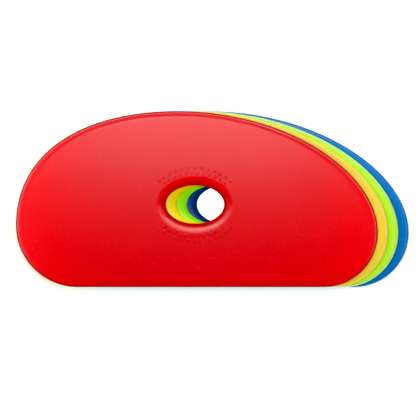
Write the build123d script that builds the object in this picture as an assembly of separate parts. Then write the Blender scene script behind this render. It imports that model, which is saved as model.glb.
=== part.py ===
from build123d import *
import math
import os

# A pile of four moulded polymer pottery ribs, one of each softness, fanned out along their straight edge.
# All four are the same moulding in another hardness and colour. Each lies flat on the grip pips of the
# rib below it. Millimetres. +X runs along the straight edges, +Y from the straight edge to the curved
# one and +Z up through the pile. The origin is the middle of the pile's footprint, on the table.

# Outline of one rib
rib_length = 184.0            # end to end, along the straight edge
rib_height = 89.5             # from the straight edge to the crown of the curved edge
heel_radius = 31.4            # round corner at the fuller, left end of the straight edge
toe_radius = 27.6             # round corner at the slimmer, right end
crown_share = 0.448           # how far along from the left end the crown lies, as a share of the length
# How far the curve runs straight on from its two ends, each as a share of the way to where they would meet
heel_curve_shares = (0.62, 0.615)  # up from the heel's corner, and left from the crown
toe_curve_shares = (0.505, 0.537)  # up from the toe's corner, and right from the crown
stretches_of_a_curve = 2

# Section of one rib
rib_thickness = 5.0
edge_bevel_width = 2.75       # shallow bevel round the working edge, on both faces
edge_bevel_depth = 0.6
edge_round_radius = 1.6       # between the bevel and the wall of the edge
edge_round_strips = 5

# Finger hole, an oval with a rolled rim on both faces
hole_length = 29.6
hole_width = 19.4
hole_from_heel = 91.0         # hole centre to the left end
hole_from_edge = 42.0         # hole centre to the straight edge
hole_roll_width = 5.0         # from the wall of the hole to the flat of the face
hole_land = 0.5               # straight wall left between the two rolls
roll_angles = (0.0, 20.0, 40.0, 60.0, 80.0)  # degrees round the roll's quarter oval, wall to face

# Grip pips, in two staggered rows that follow the hole above it and below it
pip_radius = 0.9
pip_height = 0.25
pip_root = 0.5                # how far a pip is carried down into the face
pip_clear_of_roll = 1.4       # from the roll to the middle of the first row
pip_row_pitch = 2.5
pips_in_outer_row = 13
pip_arc = 100.0               # degrees of the hole that a row spans

# Pile
fan_step = 5.3                # each rib lies this far to the right of the one on top of it
ribs_from_the_table_up = ("rib_firm_blue", "rib_medium_green", "rib_soft_yellow", "rib_very_soft_red")


def arcs_along(curve):
    """Radius and turn, in degrees, of tangent arcs that follow the curve, two for each of its stretches."""
    arcs = []
    for number in range(stretches_of_a_curve):
        start, end = (curve @ (place / stretches_of_a_curve) for place in (number, number + 1))
        way_out, way_in = (curve % (place / stretches_of_a_curve) for place in (number, number + 1))
        across = end - start
        along = across.dot(way_out + way_in)
        spread = 2 * (1 - way_out.dot(way_in))
        handle = (math.sqrt(along ** 2 + spread * across.dot(across)) - along) / spread
        joint = (start + end + (way_out - way_in) * handle) / 2
        for chord, way in ((joint - start, way_out), (end - joint, way_in)):
            half_turn = math.asin(chord.cross(way).length / chord.length)
            arcs.append((chord.length / (2 * math.sin(half_turn)), math.degrees(2 * half_turn)))
    return arcs


def rib_outline(inset):
    """Face inside the outline, drawn in by the inset: straight edge, then tangent arcs from toe to heel."""
    toe_up_share, toe_crown_share = toe_curve_shares
    heel_up_share, heel_crown_share = heel_curve_shares
    crown_from_heel = crown_share * rib_length
    crown_from_toe = rib_length - crown_from_heel
    toe_curve = Bezier(
        (rib_length, toe_radius),
        (rib_length, toe_radius + toe_up_share * (rib_height - toe_radius)),
        (crown_from_heel + toe_crown_share * crown_from_toe, rib_height),
        (crown_from_heel, rib_height),
    )
    heel_curve = Bezier(
        (crown_from_heel, rib_height),
        (crown_from_heel - heel_crown_share * crown_from_heel, rib_height),
        (0, heel_radius + heel_up_share * (rib_height - heel_radius)),
        (0, heel_radius),
    )
    crown_arcs = arcs_along(toe_curve) + arcs_along(heel_curve)
    edges = [Line((heel_radius, inset), (rib_length - toe_radius, inset))]
    for radius, turn in ((toe_radius, 90), *crown_arcs, (heel_radius, 90)):
        edges.append(JernArc(edges[-1] @ 1, edges[-1] % 1, radius - inset, turn))
    return make_face(Wire(edges))


def edge_profile():
    """Inset and height above the middle of the plate, from the head of the wall to the flat of the face."""
    bevel_rise = edge_bevel_depth / edge_bevel_width
    last_lean = math.atan(1 / bevel_rise)
    leans = [last_lean * strip / edge_round_strips for strip in range(edge_round_strips + 1)]
    bevel_foot = edge_round_radius * (1 - math.cos(last_lean))
    bevel_foot_height = rib_thickness / 2 - (edge_bevel_width - bevel_foot) * bevel_rise
    wall_head = bevel_foot_height - edge_round_radius * math.sin(last_lean)
    profile = []
    for lean in leans:
        inset = edge_round_radius * (1 - math.cos(lean))
        profile.append((inset, wall_head + edge_round_radius * math.sin(lean)))
    return [*profile, (edge_bevel_width, rib_thickness / 2)]


def blank():
    """The rib before its hole: a plate with a rounded edge and a shallow bevel inside it, on both faces."""
    upper = edge_profile()
    lower = [(inset, -height) for inset, height in reversed(upper)]
    sections = []
    for inset, height in (*lower, *upper):
        sections.append(Pos(0, 0, rib_thickness / 2 + height) * rib_outline(inset))
    return loft(sections, ruled=True)


def hole_cutter():
    """Oval bore whose wall rolls out to both faces, so that no edge meets the fingers."""
    roll_depth = (rib_thickness - hole_land) / 2
    last_angle = math.radians(roll_angles[-1])
    oval_width = hole_roll_width / (1 - math.cos(last_angle))
    oval_depth = roll_depth / math.sin(last_angle)
    sections = []
    for angle in roll_angles:
        out = oval_width * (1 - math.cos(math.radians(angle)))
        up = hole_land / 2 + oval_depth * math.sin(math.radians(angle))
        sections.append(Pos(0, 0, up) * Ellipse(hole_length / 2 + out, hole_width / 2 + out))
    roll = loft(sections)
    land = extrude(Ellipse(hole_length / 2, hole_width / 2), hole_land / 2, both=True)
    return Pos(hole_from_heel, hole_from_edge, rib_thickness / 2) * (land + roll + mirror(roll, Plane.XY))


def pips():
    """Low round pips on the upper face, in two staggered rows over the hole and two under it."""
    found = []
    stud = extrude(Circle(pip_radius), pip_root + pip_height)
    for row in range(2):
        out = hole_roll_width + pip_clear_of_roll + row * pip_row_pitch
        count = pips_in_outer_row - 1 + row
        margin = (1 - row) / 2
        for middle in (90, 270):
            track = EllipticalCenterArc(
                (hole_from_heel, hole_from_edge, rib_thickness - pip_root),
                hole_length / 2 + out,
                hole_width / 2 + out,
                middle - pip_arc / 2,
                arc_size=pip_arc,
            )
            for number in range(count):
                place = track @ ((number + margin) / (pips_in_outer_row - 1))
                found.append(Pos(place) * stud)
    return found


def rib():
    """One whole rib, its left end at x 0, its straight edge at y 0 and its underside at z 0."""
    return (blank() - hole_cutter()).fuse(*pips())


def main():
    os.makedirs("parts", exist_ok=True)
    one_rib = rib()
    pile_length = rib_length + fan_step * (len(ribs_from_the_table_up) - 1)
    level_pitch = rib_thickness + pip_height
    for level, name in enumerate(ribs_from_the_table_up):
        from_the_top = len(ribs_from_the_table_up) - 1 - level
        place = Pos(fan_step * from_the_top - pile_length / 2, -rib_height / 2, level * level_pitch)
        export_step(place * one_rib, f"parts/{name}.step")


main()
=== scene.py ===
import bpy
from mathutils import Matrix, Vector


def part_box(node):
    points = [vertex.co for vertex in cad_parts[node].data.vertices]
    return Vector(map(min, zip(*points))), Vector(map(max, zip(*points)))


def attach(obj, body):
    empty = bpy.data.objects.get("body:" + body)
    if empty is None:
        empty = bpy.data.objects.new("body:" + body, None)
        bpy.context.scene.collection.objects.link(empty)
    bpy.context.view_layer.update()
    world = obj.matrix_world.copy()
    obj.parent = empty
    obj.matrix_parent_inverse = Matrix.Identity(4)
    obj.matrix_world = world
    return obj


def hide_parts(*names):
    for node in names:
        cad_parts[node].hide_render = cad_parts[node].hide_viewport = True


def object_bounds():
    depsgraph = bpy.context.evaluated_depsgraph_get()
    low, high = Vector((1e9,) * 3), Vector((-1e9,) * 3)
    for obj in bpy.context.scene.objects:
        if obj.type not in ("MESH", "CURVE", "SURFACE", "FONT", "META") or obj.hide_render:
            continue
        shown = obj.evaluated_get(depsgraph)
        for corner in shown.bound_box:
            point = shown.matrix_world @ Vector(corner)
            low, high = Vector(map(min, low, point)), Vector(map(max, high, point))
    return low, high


bl_info = {
    "name": "Pottery Ribs",
    "version": (1, 0, 0),
    "blender": (4, 5, 0),
    "location": "View3D > Sidebar > Pottery Ribs",
    "description": "Moulds a fanned pile of four pottery ribs and lights it for a picture from above",
    "category": "Object",
}

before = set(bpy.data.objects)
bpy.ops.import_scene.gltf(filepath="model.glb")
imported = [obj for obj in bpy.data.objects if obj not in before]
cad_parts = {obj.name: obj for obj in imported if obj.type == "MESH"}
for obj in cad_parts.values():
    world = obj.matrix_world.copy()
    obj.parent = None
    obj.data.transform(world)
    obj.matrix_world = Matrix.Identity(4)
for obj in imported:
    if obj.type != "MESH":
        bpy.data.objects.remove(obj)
cad_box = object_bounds()

import math

import bmesh
import bpy
from bpy.props import FloatProperty, FloatVectorProperty, IntProperty, PointerProperty
from bpy.types import Operator, Panel, PropertyGroup
from mathutils import Vector

MM = 0.001
NEAR = 0.001 * MM             # two places closer than this are the same place

# Each rib: its node, the body that carries it, its slot and the name of its colour
RIBS = (
    ("rib_very_soft_red", "red_rib", "red_polyurethane", "red"),
    ("rib_soft_yellow", "yellow_rib", "yellow_polyurethane", "yellow"),
    ("rib_medium_green", "green_rib", "green_polyurethane", "green"),
    ("rib_firm_blue", "blue_rib", "blue_polyurethane", "blue"),
)
ONE_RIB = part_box(RIBS[0][0])

# Parts of a rib that have a tone of their own
TONED_PARTS = (
    ("face", "Pigment of the faces"),
    ("cloud", "Deeper tone that clouds and speckles the faces"),
    # painted shade, a touch, on the red and yellow bevels; painted light, a touch, on the green and blue
    # ones
    ("bevel", "Shallow bevel inside the edge"),
    # the wall's tone is painted shade on the red rib, painted light on the yellow and painted highlight on
    # the green
    ("wall", "Trimmed wall of the edge"),
    # painted light in the yellow and green lips, painted shade in the blue lip
    ("lip", "Start of the rolled rim of the hole"),
    # painted shade in the red and blue rolls, painted light in the yellow and green rolls
    ("roll", "Depth of the rolled rim of the hole"),
    # painted shade round the foot of every pip, so that the pips show
    ("foot", "Foot of each grip pip, deeper so that the pips show from above"),
)
# Those tones of each rib, as sRGB hex. A real rib is one colour throughout: face and cloud are its pigment,
# and the other tones paint light and shade in. Painted shade: the red wall, the blue lip, the red and blue
# rolls, and every pip foot, so that the pips show. Painted light: the yellow and green walls, lips and
# rolls.
# The bevels are a touch of painted shade on red and yellow and of painted light on green and blue.
TONES = {
    "red": ("#E7000F", "#DF000D", "#E00012", "#8C0612", "#E7000F", "#C80006", "#A00008"),
    "yellow": ("#ECD03A", "#E8CA34", "#E6CA42", "#F6DC5C", "#FFE83C", "#FFE60C", "#D0A01C"),
    "green": ("#AEE82C", "#A6E424", "#B2EC34", "#C8F49C", "#A2FC1E", "#98F80C", "#6CB010"),
    "blue": ("#0370BE", "#026CB8", "#0474C4", "#0A70B8", "#10499F", "#00347A", "#025090"),
}

# Each light: name, azimuth and elevation in degrees, distance, aim, width and height in metres, and watts
MIDDLE = (0, 0, 0.01)
LEFT_END, RIGHT_END, CROWN = (-0.09, 0, 0.02), (0.09, 0, 0.02), (0, 0.04, 0.02)
LEFT_SHOULDER, RIGHT_SHOULDER = (-0.07, 0.02, 0.02), (0.06, 0.02, 0.02)
COLOUR_LIGHTS = (
    ("top_softbox", 90, 90, 0.8, MIDDLE, (0.3, 0.3), 4.12),
    ("back_card", 90, 37, 0.21, (0, 0.03, 0.02), (0.4, 0.12), 0.34),
    ("front_softbox", 270, 12, 0.8, MIDDLE, (0.4, 0.2), 2.2),
    ("left_edge_strip", 180, 75, 0.03, (-0.095, 0, 0.02), (0.12, 0.02), 0.0095),
    ("right_edge_strip", 0, 75, 0.03, (0.083, 0, 0.02), (0.12, 0.02), 0.0088),
)
SHEEN_LIGHTS = (
    ("face_sheen", 90, 90, 0.21, (-0.01, 0.03, 0.01), (0.17, 0.02), 0.075),
    ("roll_sheen", 90, 90, 0.21, (-0.01, 0.075, 0.01), (0.14, 0.025), 0.275),
    ("left_high_strip", 180, 57, 0.4, LEFT_END, (0.4, 0.09), 0.52),
    ("left_low_strip", 180, 32, 0.4, LEFT_END, (0.4, 0.09), 0.4),
    ("right_high_strip", 0, 57, 0.4, RIGHT_END, (0.4, 0.09), 0.22),
    ("right_low_strip", 0, 34, 0.4, RIGHT_END, (0.4, 0.09), 0.28),
    ("back_strip", 90, 32, 0.4, CROWN, (0.4, 0.09), 0.42),
    ("left_back_strip", 135, 45, 0.4, LEFT_SHOULDER, (0.3, 0.12), 0.42),
    ("right_back_strip", 55, 45, 0.4, RIGHT_SHOULDER, (0.3, 0.12), 0.28),
)
BLACK_LEVEL = 0.014           # light below this is black, as in a picture whose levels were stretched
TABLE_SIZE = 30.0             # metres: the table reaches past everything that a camera sees

# Fineness of the mesh
OUTLINE_STEPS = 36            # facets in each stretch of the outline
EDGE_SEGMENTS = 7             # facets across the round of the edge
CREASE_WIDTH = 0.5 * MM       # rounding of the line between bevel and face
CREASE_SEGMENTS = 4
SUPPORT_WIDTH = 0.3 * MM      # narrow flat strip that keeps the shading of the face flat
ROLL_STEPS = 14
ROLL_LAST_ANGLE = math.radians(80)  # how far round its quarter oval the roll of the hole goes
PIP_SIDES = 20
PIP_ROUND = 0.6 * MM
PIP_SEGMENTS = 4
PIP_ROOT = 0.5 * MM           # how far a pip is carried down into the face
SMOOTH_ANGLE = math.radians(35)  # edges sharper than this stay sharp
QUARTER_HANDLE = 4 / 3 * (math.sqrt(2) - 1)  # handle of a Bezier quarter circle, as a share of the radius

# A span holds two values of what is measured, then what comes of each
SPAN_INPUTS = ("From_Min", "From_Max", "To_Min", "To_Max")
# Finish of the cast polyurethane
CLOUD_SIZE = 16 * MM          # patches in which the pigment is deeper
CLOUD_DETAIL = 2.0
CLOUD_SPAN = (0.3, 0.7, 0.0, 0.6)    # from noise to how much of the deeper tone
GRAIN_SIZE = 0.8 * MM         # real grain is likely under 0.1 mm; this is as fine as shows from above
GRAIN_DETAIL, GRAIN_COARSENESS = 4.0, 0.65
GRAIN_SPAN = (0.4, 0.7, 0.0, 1.0)    # from noise to how much of the deeper tone
SATIN_SPAN = (0.3, 0.7, 0.25, 0.28)  # from noise to the roughness of the face
GRAIN_DEPTH, GRAIN_STRENGTH = 0.02 * MM, 0.3
FACE_SPECULAR = 0.3
POLYURETHANE_IOR = 1.5
DEPTH_OF_LIGHT = 1.2 * MM     # how far light strays under the surface
DEPTH_BY_COLOUR = (1.0, 0.6, 0.4)  # the same for red, green and blue light, as shares
STRAY_SHARE = 0.25
# Attributes: how far a point of the outer edge, or of the roll of the hole, lies below the face
EDGE_FALL, ROLL_FALL = "edge_fall", "roll_fall"
PIP_RISE = "pip_rise"         # attribute: how far a point of a pip stands above the face
# Finish, zone by zone: an attribute, the two values in mm between which the zone sets in, then the zone's
# tone, roughness and specular level. Each zone covers those before it. The tones of bevel, wall, lip, roll
# and foot carry painted light and shade, as listed at TONES.
ZONES = (
    # bevel tone: a touch of painted shade on red and yellow, of painted light on green and blue
    (EDGE_FALL, 0.0, 0.04, "bevel", 0.36, 0.2),
    (EDGE_FALL, 0.32, 0.42, "face", 0.25, 1.0),
    # wall tone: painted shade on red, painted light on yellow, painted highlight on green
    (EDGE_FALL, 0.62, 0.78, "wall", 0.7, 0.08),
    # lip tone: painted light on yellow and green, painted shade on blue
    (ROLL_FALL, 0.0, 0.03, "lip", 0.25, 0.3),
    # roll tone: painted shade on red and blue, painted light on yellow and green
    (ROLL_FALL, 0.2, 0.6, "roll", 0.27, 0.3),
    (ROLL_FALL, 0.45, 0.8, "roll", 0.7, 0.08),
    # foot tone: painted shade round the base of each pip
    (PIP_RISE, 0.0, 0.02, "foot", 0.5, 0.3),
    (PIP_RISE, 0.08, 0.2, "face", 0.25, 0.3),
)

# Finish of the table, and spans from the distance to its middle to the glow that is added there
TABLE_ROUGHNESS = 0.9
TABLE_GLOW = 0.3
EXTRA_GLOWS = (
    (20 * MM, 38 * MM, 0.65, 0.0),
    (200 * MM, 900 * MM, 0.0, 0.75),
)


def linear(code):
    """Linear red, green, blue and alpha of an sRGB hex colour such as #C01020."""
    shares = [int(code[place:place + 2], 16) / 255 for place in (1, 3, 5)]
    return [s / 12.92 if s <= 0.04045 else ((s + 0.055) / 1.055) ** 2.4 for s in shares] + [1.0]


def length_setting(name, description, default):
    """A size in metres."""
    return FloatProperty(name=name, description=description, default=default, min=0.0, unit="LENGTH")


def share_setting(name, description, default):
    """A share between nothing and all."""
    return FloatProperty(
        name=name, description=description, default=default, min=0.0, max=1.0, subtype="FACTOR"
    )


def colour_setting(name, description, code):
    """A colour given as sRGB hex."""
    return FloatVectorProperty(
        name=name, description=description, default=linear(code), size=4, min=0.0, max=1.0, subtype="COLOR"
    )


class RibSizes(PropertyGroup):
    """Sizes of one rib. All four are the same moulding."""

    length: length_setting("Length", "End to end, along the straight edge", (ONE_RIB[1] - ONE_RIB[0]).x)
    height: length_setting("Height", "From the straight edge to the crown", (ONE_RIB[1] - ONE_RIB[0]).y)
    thickness: length_setting("Thickness", "Of the plate, without its pips", 5 * MM)
    heel_radius: length_setting("Heel radius", "Round corner at the fuller, left end", 31.4 * MM)
    toe_radius: length_setting("Toe radius", "Round corner at the slimmer, right end", 27.6 * MM)
    crown_share: share_setting("Crown", "How far along from the left end the crown lies", 0.448)
    heel_up_share: share_setting("Heel rise", "How far the curve runs on upwards from the heel", 0.62)
    heel_crown_share: share_setting("Crown to heel", "How far the curve runs on left from the crown", 0.615)
    toe_up_share: share_setting("Toe rise", "How far the curve runs on upwards from the toe", 0.505)
    toe_crown_share: share_setting("Crown to toe", "How far the curve runs on right from the crown", 0.537)
    bevel_width: length_setting("Bevel width", "Shallow bevel inside the working edge", 2.75 * MM)
    bevel_depth: length_setting("Bevel depth", "How far the bevel falls to the edge", 0.6 * MM)
    edge_radius: length_setting("Edge radius", "Round between the bevel and the wall of the edge", 1.6 * MM)
    hole_length: length_setting("Hole length", "Along the straight edge", 29.6 * MM)
    hole_width: length_setting("Hole width", "Across the straight edge", 19.4 * MM)
    hole_from_heel: length_setting("Hole from heel", "Middle of the hole to the left end", 91 * MM)
    hole_from_edge: length_setting("Hole from edge", "Middle of the hole to the straight edge", 42 * MM)
    roll_width: length_setting("Roll width", "From the wall of the hole to the flat face", 5 * MM)
    land: length_setting("Land", "Straight wall between the rolls of the two faces", 0.5 * MM)
    pip_radius: length_setting("Pip radius", "Of one low round grip pip", 0.9 * MM)
    pip_height: length_setting("Pip height", "Of one pip, above the face", 0.25 * MM)
    pip_clear_of_roll: length_setting("Pip gap", "From the roll to the first row of pips", 1.4 * MM)
    pip_row_pitch: length_setting("Pip row pitch", "From the first row of pips to the second", 2.5 * MM)
    pips_in_outer_row: IntProperty(
        name="Pips", description="In the outer row; the inner has one less", default=13, min=2
    )
    pip_arc: FloatProperty(
        name="Pip arc",
        description="How far round the hole a row goes",
        default=math.radians(100),
        subtype="ANGLE",
    )


class RibColours(PropertyGroup):
    """Tones of each rib, its pigment and its painted light and shade, and the colour of the table."""

    table: colour_setting("Table", "White laminate under the pile", "#FFFFFF")


for colour, codes in TONES.items():
    for (part, description), code in zip(TONED_PARTS, codes):
        setting = colour_setting(f"{colour} {part}".capitalize(), description, code)
        RibColours.__annotations__[f"{colour}_{part}"] = setting


class StudioSettings(PropertyGroup):
    """Camera: its lens, the width of the picture and where it aims."""

    lens: FloatProperty(name="Lens", description="Focal length in millimetres", default=1000.0)
    picture_width: length_setting("Picture width", "What it takes in, at the top of the pile", 213.5 * MM)
    aim_x: FloatProperty(
        name="Aim X", description="Middle of the picture", default=-1.27 * MM, unit="LENGTH"
    )
    aim_y: FloatProperty(
        name="Aim Y", description="Middle of the picture", default=-5.55 * MM, unit="LENGTH"
    )


def clear_selection():
    """Leaves edit mode and deselects everything."""
    if bpy.context.object and bpy.context.object.mode != "OBJECT":
        bpy.ops.object.mode_set(mode="OBJECT")
    bpy.ops.object.select_all(action="DESELECT")


def pick(*pieces):
    """Selects just these pieces, the last one active."""
    clear_selection()
    for piece in pieces:
        piece.select_set(True)
        bpy.context.view_layer.objects.active = piece


def select_edges(piece, wanted):
    """In edit mode, selects the edges that pass the test and nothing else."""
    bpy.ops.mesh.select_mode(type="EDGE")
    bpy.ops.mesh.select_all(action="DESELECT")
    mesh = bmesh.from_edit_mesh(piece.data)
    found = [edge for edge in mesh.edges if wanted(edge)]
    if not found:
        raise RuntimeError(f"{piece.name}: no edge passes the test")
    for edge in found:
        edge.select_set(True)
    bmesh.update_edit_mesh(piece.data)


def at_height(edge, height):
    """Whether both ends of the edge lie at that height."""
    return all(abs(vertex.co.z - height) < NEAR for vertex in edge.verts)


def draw_outline(sizes):
    """The rib's outline at the middle of its thickness: a closed Bezier curve, made a loop of edges."""
    heel, toe, length, height = sizes.heel_radius, sizes.toe_radius, sizes.length, sizes.height
    crown = sizes.crown_share * length
    straight = length - heel - toe
    # Place, way of travel, and the reach of the handles before and after
    points = (
        ((heel, 0), (1, 0), QUARTER_HANDLE * heel, straight / 3),
        ((length - toe, 0), (1, 0), straight / 3, QUARTER_HANDLE * toe),
        ((length, toe), (0, 1), QUARTER_HANDLE * toe, sizes.toe_up_share * (height - toe)),
        ((crown, height), (-1, 0), sizes.toe_crown_share * (length - crown), sizes.heel_crown_share * crown),
        ((0, heel), (0, -1), sizes.heel_up_share * (height - heel), QUARTER_HANDLE * heel),
    )
    clear_selection()
    bpy.ops.curve.primitive_bezier_circle_add(enter_editmode=True)
    outline = bpy.context.object
    outline.data.resolution_u = OUTLINE_STEPS
    spline = outline.data.splines[0]
    spline.bezier_points.add(len(points) - len(spline.bezier_points))
    for point, (place, way, reach_in, reach_out) in zip(spline.bezier_points, points):
        place, way = Vector((*place, 0)), Vector((*way, 0))
        point.handle_left_type = point.handle_right_type = "FREE"
        point.co = place
        point.handle_left = place - way * reach_in
        point.handle_right = place + way * reach_out
    # The two long curves over the crown get a point more, so that all facets are about as long
    bpy.ops.curve.select_all(action="DESELECT")
    for point in spline.bezier_points[2:]:
        point.select_control_point = point.select_left_handle = point.select_right_handle = True
    bpy.ops.curve.subdivide(number_cuts=1)
    bpy.ops.object.mode_set(mode="OBJECT")
    bpy.ops.object.convert(target="MESH")
    return outline


def raise_upper_half(rib, sizes):
    """Upper half of the rounded, bevelled edge, up to a narrow strip of the flat face."""
    half = sizes.thickness / 2
    shoulder = half - sizes.bevel_depth
    bevel_slope = math.atan(sizes.bevel_depth / sizes.bevel_width)
    round_reach = sizes.edge_radius * math.tan((math.pi / 2 - bevel_slope) / 2)
    bpy.ops.object.mode_set(mode="EDIT")
    bpy.ops.mesh.select_mode(type="EDGE")
    bpy.ops.mesh.select_all(action="SELECT")
    bpy.ops.mesh.extrude_region_move(TRANSFORM_OT_translate={"value": (0, 0, shoulder)})
    bpy.ops.mesh.edge_face_add()
    bpy.ops.mesh.inset(thickness=sizes.bevel_width, use_even_offset=True)
    bpy.ops.transform.translate(value=(0, 0, sizes.bevel_depth))
    select_edges(rib, lambda edge: at_height(edge, shoulder))
    bpy.ops.mesh.bevel(offset=round_reach, segments=EDGE_SEGMENTS, affect="EDGES", clamp_overlap=False)
    select_edges(rib, lambda edge: at_height(edge, half))
    bpy.ops.mesh.bevel(offset=CREASE_WIDTH, segments=CREASE_SEGMENTS, affect="EDGES", clamp_overlap=False)
    bpy.ops.mesh.select_mode(type="FACE")
    bpy.ops.mesh.select_all(action="DESELECT")
    bpy.ops.mesh.select_face_by_sides(number=4, type="GREATER")
    bpy.ops.mesh.inset(thickness=SUPPORT_WIDTH, use_even_offset=True)
    bpy.ops.mesh.delete(type="ONLY_FACE")


def roll_hole(sizes, sides):
    """Upper half of the finger hole: half the land, then a quarter oval that rolls out to the face."""
    half_length, half_width = sizes.hole_length / 2, sizes.hole_width / 2
    middle = Vector((sizes.hole_from_heel, sizes.hole_from_edge, 0))
    oval_width = sizes.roll_width / (1 - math.cos(ROLL_LAST_ANGLE))
    oval_depth = (sizes.thickness - sizes.land) / 2 / math.sin(ROLL_LAST_ANGLE)
    bpy.ops.mesh.select_mode(type="EDGE")
    bpy.ops.mesh.select_all(action="DESELECT")
    bpy.ops.mesh.primitive_circle_add(vertices=sides, radius=1, location=middle)
    bpy.ops.transform.resize(value=(half_length, half_width, 1), center_override=middle)
    rings = [(0, sizes.land / 2)]
    for step in range(1, ROLL_STEPS + 1):
        angle = ROLL_LAST_ANGLE * step / ROLL_STEPS
        rings.append((oval_width * (1 - math.cos(angle)), sizes.land / 2 + oval_depth * math.sin(angle)))
    rings.append((sizes.roll_width + SUPPORT_WIDTH, sizes.thickness / 2))
    last_out, last_up = 0, 0
    for out, up in rings:
        longer = (half_length + out) / (half_length + last_out)
        wider = (half_width + out) / (half_width + last_out)
        bpy.ops.mesh.extrude_region_move(TRANSFORM_OT_translate={"value": (0, 0, up - last_up)})
        bpy.ops.transform.resize(value=(longer, wider, 1), center_override=middle)
        last_out, last_up = out, up


def close_rib(rib, sizes):
    """Spans the face from edge to hole, mirrors the upper half down and turns every face outwards."""
    half = sizes.thickness / 2
    select_edges(rib, lambda edge: edge.is_boundary and at_height(edge, half))
    bpy.ops.mesh.bridge_edge_loops()
    bpy.ops.mesh.select_all(action="SELECT")
    bpy.ops.mesh.symmetrize(direction="POSITIVE_Z", threshold=NEAR)
    bpy.ops.mesh.select_all(action="SELECT")
    bpy.ops.mesh.remove_doubles(threshold=NEAR)
    bpy.ops.mesh.normals_make_consistent(inside=False)
    bpy.ops.object.mode_set(mode="OBJECT")


def pip_places(sizes):
    """Middles of the pips on the face: two staggered rows over the hole and two under it."""
    places = []
    for row in range(2):
        out = sizes.roll_width + sizes.pip_clear_of_roll + row * sizes.pip_row_pitch
        count = sizes.pips_in_outer_row - 1 + row
        margin = (1 - row) / 2
        for middle in (math.pi / 2, -math.pi / 2):
            for number in range(count):
                turn = middle + sizes.pip_arc * ((number + margin) / (sizes.pips_in_outer_row - 1) - 0.5)
                x = sizes.hole_from_heel + (sizes.hole_length / 2 + out) * math.cos(turn)
                y = sizes.hole_from_edge + (sizes.hole_width / 2 + out) * math.sin(turn)
                places.append(Vector((x, y, sizes.thickness / 2)))
    return places


def raise_pips(rib, sizes):
    """Models one rounded pip, copies it to every place and joins the pips to the face."""
    first, *others = pip_places(sizes)
    foot_to_top = PIP_ROOT + sizes.pip_height
    clear_selection()
    bpy.ops.mesh.primitive_cylinder_add(
        vertices=PIP_SIDES,
        radius=sizes.pip_radius,
        depth=foot_to_top,
        location=first + Vector((0, 0, sizes.pip_height - foot_to_top / 2)),
    )
    bpy.ops.object.transform_apply(location=True, rotation=False, scale=False)
    pip = bpy.context.object
    bpy.ops.object.mode_set(mode="EDIT")
    select_edges(pip, lambda edge: at_height(edge, first.z + sizes.pip_height))
    bpy.ops.mesh.bevel(offset=PIP_ROUND, segments=PIP_SEGMENTS, affect="EDGES")
    bpy.ops.object.mode_set(mode="OBJECT")
    pips = [pip]
    for place in others:
        pick(pip)
        bpy.ops.object.duplicate_move(TRANSFORM_OT_translate={"value": place - first})
        pips.append(bpy.context.object)
    pick(*pips)
    bpy.ops.object.join()
    bpy.ops.object.transform_apply(location=True, rotation=False, scale=False)
    studs = bpy.context.object
    pick(rib)
    union = rib.modifiers.new("pips", "BOOLEAN")
    union.operation = "UNION"
    union.solver = "EXACT"
    union.object = studs
    bpy.ops.object.modifier_apply(modifier=union.name)
    bpy.data.objects.remove(studs)


def mark_falls(rib, sizes):
    """Writes how far edge and roll lie below the face at each point, and pips above it, for the material."""
    reach = sizes.roll_width + SUPPORT_WIDTH
    edge_fall = rib.data.attributes.new(EDGE_FALL, "FLOAT", "POINT")
    roll_fall = rib.data.attributes.new(ROLL_FALL, "FLOAT", "POINT")
    pip_rise = rib.data.attributes.new(PIP_RISE, "FLOAT", "POINT")
    for vertex in rib.data.vertices:
        x = (vertex.co.x - sizes.hole_from_heel) / (sizes.hole_length / 2 + reach)
        y = (vertex.co.y - sizes.hole_from_edge) / (sizes.hole_width / 2 + reach)
        falls = edge_fall if math.hypot(x, y) > 1 else roll_fall
        falls.data[vertex.index].value = max(0.0, sizes.thickness / 2 - abs(vertex.co.z))
        pip_rise.data[vertex.index].value = max(0.0, vertex.co.z - sizes.thickness / 2)


def mould_rib(sizes):
    """One whole rib, its left end at x 0, its straight edge at y 0 and the middle of its plate at z 0."""
    rib = draw_outline(sizes)
    sides = len(rib.data.vertices)
    raise_upper_half(rib, sizes)
    roll_hole(sizes, sides)
    close_rib(rib, sizes)
    raise_pips(rib, sizes)
    mark_falls(rib, sizes)
    pick(rib)
    bpy.ops.object.shade_smooth_by_angle(angle=SMOOTH_ANGLE)
    return rib


def add_node(tree, kind, settings=None, **links):
    """Adds a node, sets its properties, and fills its inputs with values or with other nodes' outputs.

    An input goes by its name, or by an underscore and its number where several share a name.
    """
    node = tree.nodes.new(kind)
    for name, value in (settings or {}).items():
        setattr(node, name, value)
    for name, value in links.items():
        socket = node.inputs[int(name[1:])] if name[1:].isdigit() else node.inputs[name.replace("_", " ")]
        if isinstance(value, bpy.types.NodeSocket):
            tree.links.new(value, socket)
        else:
            socket.default_value = value if isinstance(value, (int, float)) else tuple(value)
    return node


def new_material(name):
    """An empty node material with its output, and that output's surface socket."""
    material = bpy.data.materials.new(name)
    material.use_nodes = True
    material.node_tree.nodes.clear()
    output = add_node(material.node_tree, "ShaderNodeOutputMaterial")
    return material, output.inputs["Surface"]


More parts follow.
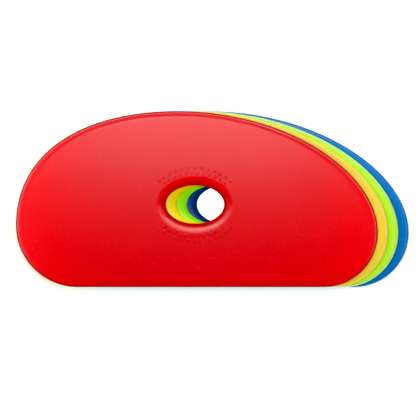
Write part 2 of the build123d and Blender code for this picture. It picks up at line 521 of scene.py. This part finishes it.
def cast_polyurethane(name, tones):
    """Polyurethane cast in a mould, taken to be finely blasted and trimmed round the edge.

    To the eye the pigment is faintly cloudy, the faces have a fine satin grain, the round of the edge is
    glossier, and the wall of the edge is duller. The tones of bevel, wall, lip, roll and pip foot are
    painted light and shade.
    """
    material, surface = new_material(name)
    tree = material.node_tree
    place = add_node(tree, "ShaderNodeTexCoord").outputs["Object"]
    clouds = add_node(tree, "ShaderNodeTexNoise", Vector=place, Scale=1 / CLOUD_SIZE, Detail=CLOUD_DETAIL)
    fineness = {"Scale": 1 / GRAIN_SIZE, "Detail": GRAIN_DETAIL, "Roughness": GRAIN_COARSENESS}
    grain = add_node(tree, "ShaderNodeTexNoise", Vector=place, **fineness)
    colour = tones["face"]
    for pattern, values in ((clouds, CLOUD_SPAN), (grain, GRAIN_SPAN)):
        span = dict(zip(SPAN_INPUTS, values))
        share = add_node(tree, "ShaderNodeMapRange", Value=pattern.outputs["Fac"], **span).outputs["Result"]
        mix = add_node(tree, "ShaderNodeMix", {"data_type": "RGBA"}, _0=share, _6=colour, _7=tones["cloud"])
        colour = mix.outputs[2]
    span = dict(zip(SPAN_INPUTS, SATIN_SPAN))
    roughness = add_node(tree, "ShaderNodeMapRange", Value=grain.outputs["Fac"], **span).outputs["Result"]
    specular = FACE_SPECULAR
    for attribute, start, end, tone, zone_roughness, zone_specular in ZONES:
        mark = add_node(tree, "ShaderNodeAttribute", {"attribute_name": attribute}).outputs["Fac"]
        span = {"From_Min": start * MM, "From_Max": end * MM}
        share = add_node(tree, "ShaderNodeMapRange", Value=mark, **span).outputs["Result"]
        mix = add_node(tree, "ShaderNodeMix", {"data_type": "RGBA"}, _0=share, _6=colour, _7=tones[tone])
        colour = mix.outputs[2]
        mix = add_node(tree, "ShaderNodeMix", _0=share, _2=roughness, _3=zone_roughness)
        roughness = mix.outputs["Result"]
        mix = add_node(tree, "ShaderNodeMix", _0=share, _2=specular, _3=zone_specular)
        specular = mix.outputs["Result"]
    relief = {"Strength": GRAIN_STRENGTH, "Distance": GRAIN_DEPTH}
    bump = add_node(tree, "ShaderNodeBump", Height=grain.outputs["Fac"], **relief)
    shader = add_node(
        tree,
        "ShaderNodeBsdfPrincipled",
        Base_Color=colour,
        Roughness=roughness,
        IOR=POLYURETHANE_IOR,
        Specular_IOR_Level=specular,
        Subsurface_Weight=STRAY_SHARE,
        Subsurface_Radius=DEPTH_BY_COLOUR,
        Subsurface_Scale=DEPTH_OF_LIGHT,
        Normal=bump.outputs["Normal"],
    )
    tree.links.new(shader.outputs["BSDF"], surface)
    return material


class RIBS_OT_mould_pile(Operator):
    """Moulds one rib, copies it three times and lays the four in the pile"""

    bl_idname = "pottery_ribs.mould_pile"
    bl_label = "Mould the Ribs"

    def execute(self, context):
        sizes = context.scene.pottery_rib_sizes
        colours = context.scene.pottery_rib_colours
        rib = mould_rib(sizes)
        for number, (node, body, slot, colour) in enumerate(RIBS):
            tones = {part: getattr(colours, f"{colour}_{part}") for part, _ in TONED_PARTS}
            last = number == len(RIBS) - 1
            piece = rib
            if not last:
                pick(rib)
                bpy.ops.object.duplicate()
                piece = context.object
            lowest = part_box(node)[0]
            piece.name = "moulded_" + node
            piece.data.name = piece.name
            piece.location = lowest + Vector((0, 0, sizes.thickness / 2))
            pick(piece)
            bpy.ops.object.transform_apply(location=True, rotation=False, scale=False)
            piece.data.materials.clear()
            piece.data.materials.append(cast_polyurethane("cast_polyurethane_" + colour, tones))
            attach(piece, body)
            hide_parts(node)
        return {"FINISHED"}


def lay_table(colours):
    """Table top of white laminate, far larger than the picture.

    It is matt, so nothing mirrors in it. It glows a little, which burns it out to plain white as in the
    picture, and more so under the finger holes, where the pile would shade it, and far out, where the
    lights fall short.
    """
    clear_selection()
    bpy.ops.mesh.primitive_plane_add(size=TABLE_SIZE, location=(0, 0, 0))
    table = bpy.context.object
    table.name = "table_top"
    material, surface = new_material("white_laminate")
    tree = material.node_tree
    place = add_node(tree, "ShaderNodeTexCoord").outputs["Object"]
    away = add_node(tree, "ShaderNodeVectorMath", {"operation": "LENGTH"}, _0=place)
    glow = TABLE_GLOW
    for values in EXTRA_GLOWS:
        span = dict(zip(SPAN_INPUTS, values))
        more = add_node(tree, "ShaderNodeMapRange", Value=away.outputs["Value"], **span).outputs["Result"]
        glow = add_node(tree, "ShaderNodeMath", _0=glow, _1=more).outputs["Value"]
    shader = add_node(
        tree,
        "ShaderNodeBsdfPrincipled",
        Base_Color=colours.table,
        Roughness=TABLE_ROUGHNESS,
        Specular_IOR_Level=0.0,
        Emission_Color=(1, 1, 1, 1),
        Emission_Strength=glow,
    )
    tree.links.new(shader.outputs["BSDF"], surface)
    table.data.materials.append(material)


def hang_light(name, azimuth, elevation, distance, aim, size, power, for_sheen):
    """A soft rectangular light, seen as sheen alone or as colour alone, as through crossed polarisers."""
    turn, rise = math.radians(azimuth), math.radians(elevation)
    way = Vector((math.cos(turn) * math.cos(rise), math.sin(turn) * math.cos(rise), math.sin(rise)))
    clear_selection()
    bpy.ops.object.light_add(type="AREA", location=Vector(aim) + way * distance)
    light = bpy.context.object
    light.name = name
    light.data.shape = "RECTANGLE"
    light.data.size, light.data.size_y = size
    light.data.energy = power
    light.rotation_mode = "QUATERNION"
    light.rotation_quaternion = (-way).to_track_quat("-Z", "Y")
    light.visible_camera = False
    light.visible_glossy = for_sheen
    light.visible_diffuse = not for_sheen


def light_world():
    """White surroundings for the camera alone."""
    world = bpy.data.worlds.new("white_room")
    world.use_nodes = True
    bpy.context.scene.world = world
    background = world.node_tree.nodes["Background"]
    background.inputs["Color"].default_value = (1, 1, 1, 1)
    world.cycles_visibility.glossy = False
    world.cycles_visibility.diffuse = False


def place_camera(settings):
    """Long lens straight above the pile."""
    data = bpy.data.cameras.new("overhead_camera")
    camera = bpy.data.objects.new("overhead_camera", data)
    bpy.context.scene.collection.objects.link(camera)
    data.lens = settings.lens
    top = cad_box[1].z
    away = settings.lens / data.sensor_width * settings.picture_width
    camera.location = (settings.aim_x, settings.aim_y, top + away)
    data.clip_end = 2 * away
    bpy.context.scene.camera = camera


class RIBS_OT_set_stage(Operator):
    """Lays the table, hangs the lights and points the camera straight down"""

    bl_idname = "pottery_ribs.set_stage"
    bl_label = "Set the Stage"

    def execute(self, context):
        scene = context.scene
        lay_table(scene.pottery_rib_colours)
        for light in COLOUR_LIGHTS:
            hang_light(*light, for_sheen=False)
        for light in SHEEN_LIGHTS:
            hang_light(*light, for_sheen=True)
        light_world()
        place_camera(scene.pottery_rib_studio)
        scene.view_settings.view_transform = "Standard"
        scene.view_settings.use_curve_mapping = True
        scene.view_settings.curve_mapping.black_level = (BLACK_LEVEL, BLACK_LEVEL, BLACK_LEVEL)
        scene.view_settings.curve_mapping.update()
        return {"FINISHED"}


class RIBS_PT_sidebar(Panel):
    """Sizes, colours and operators, in the sidebar of the 3D view"""

    bl_label = "Pottery Ribs"
    bl_idname = "RIBS_PT_sidebar"
    bl_space_type = "VIEW_3D"
    bl_region_type = "UI"
    bl_category = "Pottery Ribs"

    def draw(self, context):
        for group in ("pottery_rib_sizes", "pottery_rib_colours", "pottery_rib_studio"):
            settings = getattr(context.scene, group)
            box = self.layout.box()
            for name in settings.__annotations__:
                box.prop(settings, name)
        for operator in OPERATORS:
            self.layout.operator(operator.bl_idname)


OPERATORS = (RIBS_OT_mould_pile, RIBS_OT_set_stage)
CLASSES = (RibSizes, RibColours, StudioSettings, *OPERATORS, RIBS_PT_sidebar)


def register():
    for each in CLASSES:
        bpy.utils.register_class(each)
    bpy.types.Scene.pottery_rib_sizes = PointerProperty(type=RibSizes)
    bpy.types.Scene.pottery_rib_colours = PointerProperty(type=RibColours)
    bpy.types.Scene.pottery_rib_studio = PointerProperty(type=StudioSettings)


def unregister():
    del bpy.types.Scene.pottery_rib_studio
    del bpy.types.Scene.pottery_rib_colours
    del bpy.types.Scene.pottery_rib_sizes
    for each in reversed(CLASSES):
        bpy.utils.unregister_class(each)


def main():
    register()
    bpy.ops.pottery_ribs.mould_pile()
    bpy.ops.pottery_ribs.set_stage()


if __name__ == "__main__":
    main()
